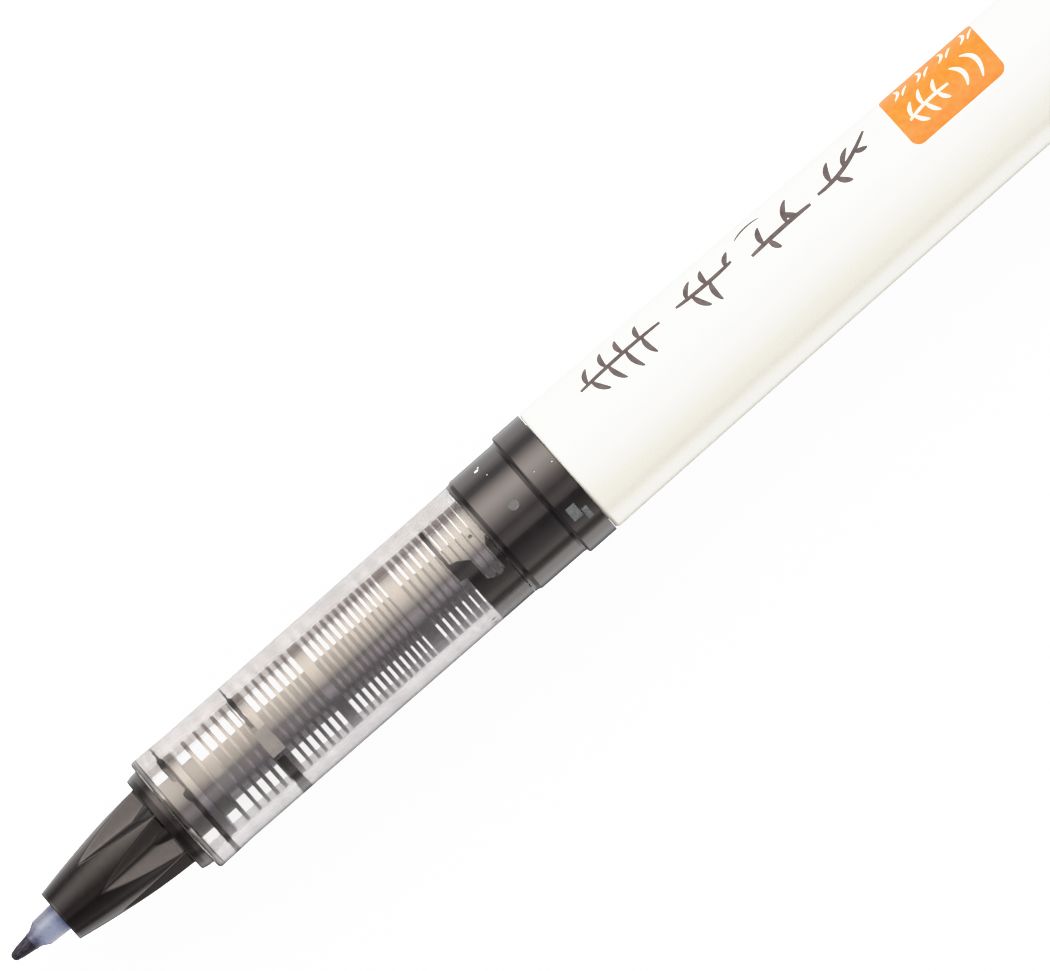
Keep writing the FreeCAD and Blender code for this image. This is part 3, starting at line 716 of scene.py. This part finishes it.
def make_ink():
    """The ink before the first disc, in the groove at the bridge, and over the last discs, and painted shade
    on the sides of the clear tube's bore.
    """
    mesh = bmesh.new()
    film(mesh, FIRST_DISC - 0.03, [
        (-5.6, -0.42, -0.2), (-4.35, -0.4, -0.15), (-4.15, -0.62, -0.02), (-3.6, -0.6, -0.02),
        (-3.3, -0.24, -0.02), (-1.1, -0.22, -0.06), (-0.9, -0.62, -0.04), (-0.1, -0.6, -0.04),
        (0.1, -0.4, -0.04), (1.2, -0.46, -0.02), (5.6, -0.5, -0.02), (6.2, -0.5, -0.02)], 3, 0.035,
         NECK_R + 0.01)
    piece("front_ink", mesh, INK, "pen", ("trapped_ink_front",))

    groove = INK_SLOT[0]
    mesh = bmesh.new()
    film(mesh, groove, [(-5.6, 0.3, 0.46), (-4.3, 0.28, 0.5), (-4.1, 0.2, 0.68), (-3.55, 0.2, 0.66),
                        (-3.3, 0.24, 0.62), (-1.25, 0.26, 0.6)], 5, 0.03)
    film(mesh, groove, [(2.06, 0.12, 0.94), (4.4, 0.1, 0.98), (5.0, 0.02, 1.02), (6.2, 0, 1.04)], 7, 0.015)
    front, rear, outer = groove + 0.02, groove + 0.62, DISC_R + 0.01
    part_turn(mesh, rounded(closed((front, CORE_R), (front, outer, 0.02), (rear, outer, 0.02),
                                   (rear, CORE_R)), 2), -math.radians(150), math.radians(120))
    piece("groove_ink", mesh, INK, "pen", ("trapped_ink_groove",))

    end = COLLECTOR_REAR + 0.1
    left, window = end - 4.34, 1.88  # the first film's front edge, and how far behind it the window starts
    mesh = bmesh.new()
    film(mesh, left, [(-4.1, 0.08, 0.4), (-3.9, 0, 0.42), (-3.4, 0, 0.4), (-0.62, 0.06, 0.34),
                      (-0.5, 0.06, 0.95), (-0.3, 0.08, 1.2), (0.1, 0.08, window - 0.1), (0.2, 0.08, window),
                      (1.0, 0.1, window), (1.08, 0.72, window), (2.2, 0.72, window),
                      (2.5, 0.72, window + 0.5), (2.72, 0.72, 3.26)], 11, 0.02)
    film(mesh, end, [(-0.75, -0.12, 0), (-0.5, -0.42, 0), (-0.1, -0.66, 0), (0.1, -0.78, 0),
                     (2.4, -0.78, 0), (2.72, -1.28, 0)], 13, 0.015)
    film(mesh, end, [(2.66, -3.62, 0), (6.2, -3.62, 0)], 17, 0.012)
    for x, height, size in ((-6.36, -1.28, 0.17), (-9.28, 4.94, 0.17), (-9.26, 5.24, 0.2),
                            (-10.84, -5.2, 0.12), (-10.2, 3.4, 0.05)):
        blob(mesh, x, BORE, -math.radians(wall_angle(height)), size, size * 0.8, 0.05)
    piece("rear_ink", mesh, INK, "pen", ("trapped_ink_rear",))

    # painted shade: thin sheets just inside the bore on both sides darken the clear tube's walls
    mesh = bmesh.new()
    front, rear = SHELL_FRONT + SHELL_WALL + 0.1, COLLAR_FRONT - 0.1
    for start, sweep, height in ((48, 70, 0.004), (44, 15, 0.0), (-118, 70, 0.004)):
        low, high = BORE + height, BORE + height + 0.003
        part_turn(mesh, [(front, low), (front, high), (rear, high), (rear, low)], math.radians(start),
                  math.radians(sweep))
    piece("shell_painted_shade", mesh, WALL_SHADE, "pen")


make_ink()

# ---- wick, partition, tank

for node, material in (("feed_wick", FIBRE), ("ink_partition", CREAM), ("tank_ink", INK)):
    materials = frame["nodes"][node].data.materials
    materials.clear()
    materials.append(material)

# ---- collar

LAND_FRONT = COLLAR_FRONT + 0.64
LAND_R = 5.664
RING_FRONT, RING_END = 0.0, 2.88
BARREL_BORE = 5.0
PLUG_R = BARREL_BORE - 0.02

turned("collar_body", closed(
    (COLLAR_FRONT + 0.02, SHELL_SPIGOT_R + 0.02), (COLLAR_FRONT + 0.02, SHELL_R + 0.01, 0.03),
    (LAND_FRONT - 0.36, SHELL_R + 0.015, 0.1), (LAND_FRONT, LAND_R - 0.01, 0.1),
    (RING_FRONT - 0.3, LAND_R, 0.1), (RING_FRONT, LAND_R + 0.06, 0.02), (RING_FRONT, RING_R, 0.22),
    (RING_END, RING_R, 0.05), (RING_END, PLUG_R), (COLLAR_SPIGOT_END, PLUG_R), (COLLAR_SPIGOT_END, BORE),
    (SHELL_END + 0.02, BORE), (SHELL_END + 0.02, SHELL_SPIGOT_R + 0.02)), SMOKY)


def gate_look():
    """The rough, paler scar that the mould's gate leaves on smoky plastic."""
    look = Shader("gate_scar", (0.035, 0.031, 0.026), 0.35, IOR=SMOKY_IOR)
    look.color_from(look.blended(look.noise(0.2), (0.03, 0.026, 0.022), (0.05, 0.044, 0.037)))
    look.bump_from(look.noise(0.08), 0.006)
    return look.material


def make_gate_mark():
    """A low round scar on the collar's land, near its top."""
    mesh = bmesh.new()
    x, across, size, around = -2.08, 0.88, 0.47, 48
    height = math.sqrt(LAND_R ** 2 - across ** 2)
    shape = (Matrix.Translation(Vector((x, across, height)) * MM)
             @ Matrix.Rotation(-math.asin(across / LAND_R), 4, "X"))
    outline = rounded([(0.0, -0.03), (size, -0.03), (size, 0.022, 0.015), (size * 0.8, 0.012, 0.1),
                       (0.0, 0.012)])
    rings = [[mesh.verts.new(shape @ (Vector((r * math.cos(angle), r * math.sin(angle), z)) * MM))
              for angle in (2 * math.pi * step / around for step in range(around if r > 1e-6 else 1))]
             for r, z in outline]
    for one, two in zip(rings, rings[1:]):
        join(mesh, one, two)
    piece("collar_gate_mark", mesh, gate_look(), "pen")


make_gate_mark()


def painted_glint_look():
    """Painted reflection: pale patches, mostly see-through, over the dark moulding."""
    look = Shader("painted_glint", (0.3, 0.31, 0.33), 0.5, Specular_IOR_Level=0.3)
    look.vary("Alpha", look.noise(1.2), 0.16, 0.3)
    look.color_from(look.blended(look.noise(0.2), (0.2, 0.21, 0.22), (0.24, 0.245, 0.25)))
    return look.material


def make_glints_and_chips():
    """Painted reflections as pale patches on the collar's ring, and specks of light plastic on it and on the
    land.
    """
    mesh = bmesh.new()
    low, high = RING_R + 0.002, RING_R + 0.006
    # painted reflections: two pale patches on the ring stand in for glints on it
    for front, rear, start, sweep in ((0.72, 1.62, -34, 13), (1.75, 2.25, -41, 12)):
        part_turn(mesh, [(front, low), (front + 0.03, high), (rear - 0.03, high), (rear, low)],
                  math.radians(start), math.radians(sweep))
    piece("collar_painted_glints", mesh, painted_glint_look(), "pen")
    mesh = bmesh.new()
    for x, angle, size in ((-2.56, 59, 0.2), (-2.3, 61.5, 0.09), (-2.1, 46, 0.05), (2.5, 14, 0.05),
                           (0.9, 17, 0.03)):
        blob(mesh, x, LAND_R if x < 0 else RING_R, math.radians(angle), size, size * 0.6, 0.02)
    piece("collar_chips", mesh, LINER, "pen")


make_glints_and_chips()

# ---- barrel and tail

BARREL_FRONT, BARREL_END, BARREL_FRONT_R = extent("barrel")
BARREL_R = 5.76
TAPER_END = 46.6
TAIL_FRONT, POST_END, TAIL_RING_R = extent("tail_plug")
TAIL_RING = (BARREL_END + 0.04, BARREL_END + 1.95)
POST_R = 5.64
PLUG_BORE = 4.2
END_WALL = 1.2

turned("barrel_body", closed(
    (BARREL_FRONT, BARREL_BORE), (BARREL_FRONT, BARREL_FRONT_R - 0.22, 0.04),
    (BARREL_FRONT + 0.3, BARREL_FRONT_R, 0.3), (TAPER_END, BARREL_R, 60), (BARREL_END, BARREL_R, 0.12),
    (BARREL_END, BARREL_BORE)), PEARL)

turned("tail_plug_body", closed(
    (TAIL_FRONT, PLUG_BORE), (TAIL_FRONT, PLUG_R), (TAIL_RING[0], PLUG_R), (TAIL_RING[0], TAIL_RING_R, 0.15),
    (TAIL_RING[1], TAIL_RING_R, 0.1), (TAIL_RING[1], POST_R), (POST_END, POST_R, 0.4),
    (POST_END, 0.01), (POST_END - END_WALL, 0.01), (POST_END - END_WALL, PLUG_BORE)), SMOKY)


def barrel_reach(x):
    """The barrel's outer radius at a place along it."""
    along = min(1.0, max(0.0, (x - BARREL_FRONT - 0.3) / (TAPER_END - BARREL_FRONT - 0.3)))
    return BARREL_FRONT_R + (BARREL_R - BARREL_FRONT_R) * along


# ---- printing and badge


def on_barrel(x, arc, lift):
    """The point over the barrel at x, an arc from its top towards +Y, and a lift, in millimetres."""
    return around_axis(x, barrel_reach(x) + lift, arc / BARREL_R)


PRINT_LIFT = 0.014  # how far the print stands over the barrel
BADGE_LIFT = 0.026  # the same for the print on the badge
PRINT_ROOT = -0.02  # and how deep all of it starts


def brush(mesh, points, width, lift=PRINT_LIFT, taper=0.6):
    """Add a brush stroke on a smooth line through three (x, arc) points, thin at its ends."""
    start, middle, end = (Vector(point) for point in points)
    bend = middle * 2 - (start + end) / 2
    steps = 18
    line = [start * (1 - t) ** 2 + bend * 2 * t * (1 - t) + end * t ** 2
            for t in (step / steps for step in range(steps + 1))]
    rings = []
    for place, spot in enumerate(line):
        ahead = (line[min(place + 1, steps)] - line[max(place - 1, 0)]).normalized()
        half = width / 2 * math.sin(math.pi * (0.03 + 0.94 * place / steps)) ** taper
        side = Vector((-ahead.y, ahead.x)) * half
        rings.append([mesh.verts.new(on_barrel(*(spot + side * across), height)) for across, height in
                      ((1, lift), (0, lift), (-1, lift), (-1, PRINT_ROOT), (1, PRINT_ROOT))])
    skin(mesh, rings)


def sprig(mesh, start, end, lean, leaves, width, lift=PRINT_LIFT):
    """Add a bamboo sprig: a bent stem from one (x, arc) place to another, and its leaves."""
    start, end = Vector(start), Vector(end)
    along = (end - start).normalized()
    across = Vector((-along.y, along.x))
    brush(mesh, (start, (start + end) / 2 + across * lean, end), width * 0.85, lift, 0.2)
    for part, side, turn, length in leaves:
        root = start + (end - start) * part + across * lean * 4 * part * (1 - part)
        away = Matrix.Rotation(math.radians(turn * side), 2) @ along
        tip = root + away * length
        middle = (root + tip) / 2 + Vector((-away.y, away.x)) * 0.1 * side * length
        brush(mesh, (root, middle, tip), width, lift)


def plate(mesh, front, rear, low, high, corner, lift):
    """Add a thin rounded rectangle of printed ink, from x and arc limits."""
    rows = 64
    rings = []
    for row in range(rows + 1):
        arc = low + (high - low) * (1 - math.cos(math.pi * row / rows)) / 2
        off = max(0.0, corner - min(arc - low, high - arc))
        inset = corner - math.sqrt(max(0.0, corner ** 2 - off ** 2))
        rings.append([mesh.verts.new(on_barrel(x, arc, height)) for x, height in
                      ((front + inset, lift), (rear - inset, lift), (rear - inset, PRINT_ROOT),
                       (front + inset, PRINT_ROOT))])
    skin(mesh, rings)


def make_printing():
    """Four bamboo sprigs and an orange badge, on the +Y side of the barrel."""
    mesh = bmesh.new()
    middle = 4.35
    sprig(mesh, (7.9, middle), (16.3, middle + 0.1), 0.16,
          ((0.1, 1, 70, 1.9), (0.14, -1, 62, 1.9), (0.34, 1, 82, 2.1), (0.36, -1, 74, 2.1),
           (0.55, 1, 88, 2.0), (0.58, -1, 80, 2.3), (0.76, 1, 80, 1.7), (0.78, -1, 84, 2.1)), 0.5)
    sprig(mesh, (18.0, middle + 0.1), (23.8, middle), -0.14,
          ((0.2, 1, 58, 1.9), (0.28, -1, 66, 2.0), (0.55, 1, 84, 1.8), (0.6, -1, 92, 2.1),
           (0.9, 1, 60, 1.5)), 0.52)
    sprig(mesh, (25.3, middle - 1.0), (31.6, middle - 0.9), 0.12,
          ((0.22, 1, 76, 1.9), (0.3, -1, 70, 1.3), (0.62, 1, 64, 2.5), (0.8, 1, 128, 1.6)), 0.54)
    brush(mesh, ((25.0, middle + 1.6), (26.3, middle + 2.2), (27.8, middle + 1.9)), 0.34)
    sprig(mesh, (32.5, middle - 0.7), (38.6, middle + 1.5), -0.7,
          ((0.22, 1, 52, 2.3), (0.3, -1, 70, 1.5), (0.46, 1, 34, 2.0), (0.7, -1, 46, 1.2)), 0.54)
    piece("barrel_printing", mesh, GREY_PRINT, "pen")

    mesh = bmesh.new()
    plate(mesh, 40.9, 50.6, 0.98, 8.35, 0.85, 0.012)
    piece("badge_ground", mesh, ORANGE_PRINT, "pen")

    mesh = bmesh.new()
    sprig(mesh, (42.0, 3.2), (46.2, 3.5), 0.2,
          ((0.08, 1, 62, 1.5), (0.12, -1, 60, 1.4), (0.4, 1, 72, 1.7), (0.44, -1, 70, 1.5),
           (0.72, 1, 66, 1.4), (0.74, -1, 66, 1.3)), 0.36, BADGE_LIFT)
    brush(mesh, ((47.0, 4.6), (47.7, 3.4), (47.3, 2.2)), 0.4, BADGE_LIFT)
    brush(mesh, ((48.3, 4.9), (49.2, 3.6), (48.7, 1.9)), 0.4, BADGE_LIFT)
    for place in range(4):
        x = 42.1 + place * 2.3
        brush(mesh, ((x, 6.0), (x + 0.55, 6.7), (x + 0.3, 7.5)), 0.3, BADGE_LIFT)
        brush(mesh, ((x + 0.75, 5.9), (x + 1.1, 6.5), (x + 1.5, 6.9)), 0.26, BADGE_LIFT)
    piece("badge_sprigs", mesh, CREAM_PRINT, "pen")


make_printing()

# ---- cap

CAP_MOUTH, CAP_END, CAP_R = extent("cap_shell")
CAP_BORE = 5.7
INNER_MOUTH, INNER_REAR, INNER_R = extent("inner_cap")
CROWN_FRONT, CROWN_END, CROWN_R = extent("cap_crown")

turned("cap_shell_body", closed(
    (CAP_MOUTH, CAP_BORE + 0.1, 0.08), (CAP_MOUTH, CAP_R, 0.25), (CAP_END, CAP_R, 0.05),
    (CAP_END, CAP_BORE), (CAP_MOUTH + 0.3, CAP_BORE, 0.1)), PEARL, "cap")

turned("inner_cap_body", closed(
    (INNER_MOUTH, 4.9, 0.1), (INNER_MOUTH, INNER_R, 0.2), (INNER_REAR, INNER_R), (INNER_REAR, 0.01),
    (INNER_REAR - 0.8, 0.01), (INNER_REAR - 0.8, 4.6, 0.3)), LINER, "cap")

CLIP_SPRING = next(joint for joint in frame["record"]["behaviour"]["joints"]
                   if joint["name"] == "clip_spring")
CLIP_UP = Vector((0, *CLIP_SPRING["pos_m"][1:])).normalized()
CLIP_SIDE = Vector((1, 0, 0)).cross(CLIP_UP)
CLIP_SLOT = (121.6, 122.6)
CLIP_SLOT_HALF = 1.95  # half its width
CLIP_SLOT_FLOOR = 5.0  # the height of its flat floor over the axis


def make_crown():
    """The cap's end, dished inside a fine groove, with the mould's gate at its centre and the clip's slot."""
    step = 0.002  # between the two rings at each end of the slot, which make its upright walls
    slot = [(x + side, CROWN_R) for x in CLIP_SLOT for side in (-step, step)]
    mesh = bmesh.new()
    turn_outline(mesh, rounded([
        (CROWN_FRONT, 0), (CROWN_FRONT, INNER_R, 0.1), (CAP_END + 0.04, INNER_R),
        (CAP_END + 0.04, CROWN_R, 0.05), *slot, (CROWN_END, CROWN_R, 0.59), (CROWN_END, 5.2, 0.06),
        (CROWN_END - 0.14, 5.08, 0.06), (CROWN_END - 0.14, 4.88, 0.06), (CROWN_END, 4.74, 0.1),
        (CROWN_END - 0.22, 0.9, 0.05), (CROWN_END - 0.12, 0.84, 0.04), (CROWN_END - 0.1, 0)]), 480)
    for vert in mesh.verts:
        across, height = vert.co.dot(CLIP_SIDE) / MM, vert.co.dot(CLIP_UP) / MM
        if (CLIP_SLOT[0] < vert.co.x / MM < CLIP_SLOT[1] and abs(across) < CLIP_SLOT_HALF
                and height > CLIP_SLOT_FLOOR):
            vert.co += CLIP_UP * (CLIP_SLOT_FLOOR - height) * MM
    piece("cap_crown_body", mesh, SMOKY, "cap", ("cap_crown",))


make_crown()

CLIP_HALF = 1.8  # half the clip's width
CLIP_EDGE = 0.12  # the rounding of its long edges
CLIP_STATIONS = (0, 0.4, 0.8, 1.15, 1.4, 1.55, CLIP_HALF - CLIP_EDGE, CLIP_HALF - 0.08, CLIP_HALF - 0.03,
                 CLIP_HALF)
CLIP_CROWN = 0.22  # the rise of its middle line
CROWN_START, CROWN_RUN = 120.9, 4.0  # where that rise starts, and the length over which it grows
CLIP_ROOT = (121.8, 122.4)
CLIP_KNEE = 88.0
CLIP_TOUCH = 85.2
CLIP_TIP = 82.4
TIP_SLOPE = Vector((2.8, -1.34))  # from the clip's tip down to where it touches the cap
TIP_ROUNDING = 0.6


def make_clip():
    """The spring strip, crowned across its width, with rolled long edges and a rounded tip."""
    inner, outer = CLIP_ROOT
    outline = rounded([
        (outer, 6.0), (outer, 9.4, 1.0), (CLIP_KNEE, 8.6, 1.5), (CLIP_TOUCH, 7.16, 1.5), (CLIP_TIP, 8.5, 0.2),
        (CLIP_TIP, 7.9, 0.2), (CLIP_TOUCH, 6.56, 1.5), (CLIP_KNEE, 8.0, 1.5), (inner, 8.8, 0.4),
        (inner, 5.25), (outer, 5.25), (outer, 6.0)], 6)[:-1]
    mesh = bmesh.new()
    rings = []
    for across in [-station for station in reversed(CLIP_STATIONS[1:])] + [*CLIP_STATIONS]:
        off = max(0.0, abs(across) - (CLIP_HALF - CLIP_EDGE))
        inset = CLIP_EDGE - math.sqrt(max(0.0, CLIP_EDGE ** 2 - off ** 2))
        tip = 1 - math.sqrt(max(0.0, 1 - (abs(across) / (CLIP_HALF + 0.02)) ** 2))
        ring = []
        for place, spot in enumerate(outline):
            ahead, back = outline[(place + 1) % len(outline)] - spot, spot - outline[place - 1]
            along = (ahead.normalized() + back.normalized()).normalized()
            spot = spot + Vector((-along.y, along.x)) * inset
            if spot.x < CLIP_TIP + TIP_ROUNDING:
                spot = spot + TIP_SLOPE * (TIP_ROUNDING * tip)
            share = min(1.0, max(0.0, (CROWN_START - spot.x) / CROWN_RUN))
            height = spot.y + CLIP_CROWN * share * (1 - (across / CLIP_HALF) ** 2)
            ring.append(mesh.verts.new((Vector((spot.x, 0, 0)) + CLIP_UP * height + CLIP_SIDE * across) * MM))
        rings.append(ring)
    skin(mesh, rings)
    piece("clip_body", mesh, STEEL, "clip", ("clip",))


make_clip()

# ---- floor and lighting


def make_floor():
    """A pale floor that glows like a light table, under the lying pen."""
    data = bpy.data.meshes.new("floor")
    reach, height = 6.0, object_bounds()[0][2] - 0.02 * MM
    data.from_pydata([(reach * x, reach * y, height) for x, y in ((-1, -1), (1, -1), (1, 1), (-1, 1))], [],
                     [(0, 1, 2, 3)])
    floor = bpy.data.objects.new("floor", data)
    bpy.context.scene.collection.objects.link(floor)
    look = Shader("floor_white", (0.35, 0.35, 0.35), 0.9, Emission_Color=(1, 1, 1, 1), Emission_Strength=1.4)
    look.bump_from(look.noise(2.0), 0.01)
    data.materials.append(look.material)
    floor.visible_glossy = floor.visible_diffuse = floor.visible_shadow = False


# the studio's brightness by the angle from overhead, towards +Y: a large softbox, a soft strip light just
# past overhead on the other side, dim walls, and the bright table that the pen lies on
STUDIO = ((-180, 0.25), (-157, 0.3), (-137, 1.7), (-122, 2.2), (-110, 2.7), (-99, 0.75), (-90, 0.5),
          (-81, 1.6), (-73, 1.28), (-65, 0.9), (-43, 0.43), (-36, 0.3), (-29.5, 0.34), (-24, 1.2),
          (-16, 1.43), (-3, 0.82), (3, 1.35), (10, 2.0), (16, 2.9), (23, 4.1), (36, 6.0), (43, 6.8),
          (50, 6.8), (57, 5.9), (65, 4.4), (73, 2.6), (81, 1.1), (90, 0.85), (99, 1.45), (110, 2.0),
          (150, 1.4), (180, 0.25))
# how much of that a gloss sees along the pen, by the sine of the angle from square to it
ALONG = (0.12, 0.28, 0.36)
# how much more of it a matt surface gets from the -Y side, by the direction's Y
ASIDE = (0.0, -0.6, 1.4)
BACKDROP = 2.6  # the plain white that the camera sees, also through clear plastic


def make_studio():
    """A world whose light depends only on the angle about the pen's axis, and is plain to the eye."""
    world = bpy.data.worlds.new("studio")
    bpy.context.scene.world = world
    world.use_nodes = True
    tree = world.node_tree
    nodes, links = tree.nodes, tree.links
    nodes.clear()
    split = nodes.new("ShaderNodeSeparateXYZ")
    links.new(nodes.new("ShaderNodeTexCoord").outputs["Generated"], split.inputs["Vector"])
    angle = worked(tree, "ARCTAN2", split.outputs["Y"], split.outputs["Z"])
    most = max(strength for _, strength in STUDIO)
    lit = nodes.new("ShaderNodeBackground")
    links.new(banded(tree, angle, [(math.radians(degrees), (strength / most,) * 3)
                                   for degrees, strength in STUDIO]), lit.inputs["Color"])
    along, aside = (mapped(tree, output, start, end, most, most * share) for output, (start, end, share) in
                    ((worked(tree, "ABSOLUTE", split.outputs["X"]), ALONG), (split.outputs["Y"], ASIDE)))
    path = nodes.new("ShaderNodeLightPath")
    change = worked(tree, "SUBTRACT", along, aside)
    links.new(worked(tree, "MULTIPLY_ADD", change, path.outputs["Is Glossy Ray"], aside),
              lit.inputs["Strength"])
    seen = nodes.new("ShaderNodeBackground")
    seen.inputs["Strength"].default_value = BACKDROP
    mix = nodes.new("ShaderNodeMixShader")
    links.new(worked(tree, "MAXIMUM", path.outputs["Is Camera Ray"], path.outputs["Is Transmission Ray"]),
              mix.inputs["Fac"])
    for socket, background in ((1, lit), (2, seen)):
        links.new(background.outputs["Background"], mix.inputs[socket])
    links.new(mix.outputs["Shader"], nodes.new("ShaderNodeOutputWorld").inputs["Surface"])


VIEW_WIDTH = 84.0 * MM
VIEW_AIM = Vector((-0.38, 1.43, 0)) * MM
VIEW_TURN = math.radians(41.25)  # how far the pen runs up from level


def make_camera():
    """Straight above the pen with a very long lens, the pen running up to the right."""
    data = bpy.data.cameras.new("camera")
    data.lens, data.sensor_width = 1200, 36
    distance = data.lens / data.sensor_width * VIEW_WIDTH
    cos, sin = math.cos(VIEW_TURN), math.sin(VIEW_TURN)
    camera = bpy.data.objects.new("camera", data)
    camera.matrix_world = Matrix((
        (cos, sin, 0, VIEW_AIM.x), (-sin, cos, 0, VIEW_AIM.y), (0, 0, 1, distance), (0, 0, 0, 1)))
    data.clip_start, data.clip_end = 0.05, 50
    bpy.context.scene.collection.objects.link(camera)
    bpy.context.scene.camera = camera


def set_tone():
    """A camera's response: straight up to the mid tones, then rolling off to white."""
    view = bpy.context.scene.view_settings
    view.view_transform = "Standard"
    view.use_curve_mapping = True
    curves = view.curve_mapping
    curves.use_clip = True
    white = 2.4
    curves.white_level = (white, white, white)
    combined = curves.curves[3]
    for inlet, outlet in ((0.12, 0.12), (0.3, 0.3), (0.55, 0.55), (0.75, 0.76), (0.9, 0.885), (1.1, 0.935),
                          (1.5, 0.97), (1.9, 0.985)):
        combined.points.new(inlet / white, outlet)
    curves.update()


make_floor()
make_studio()
make_camera()
set_tone()
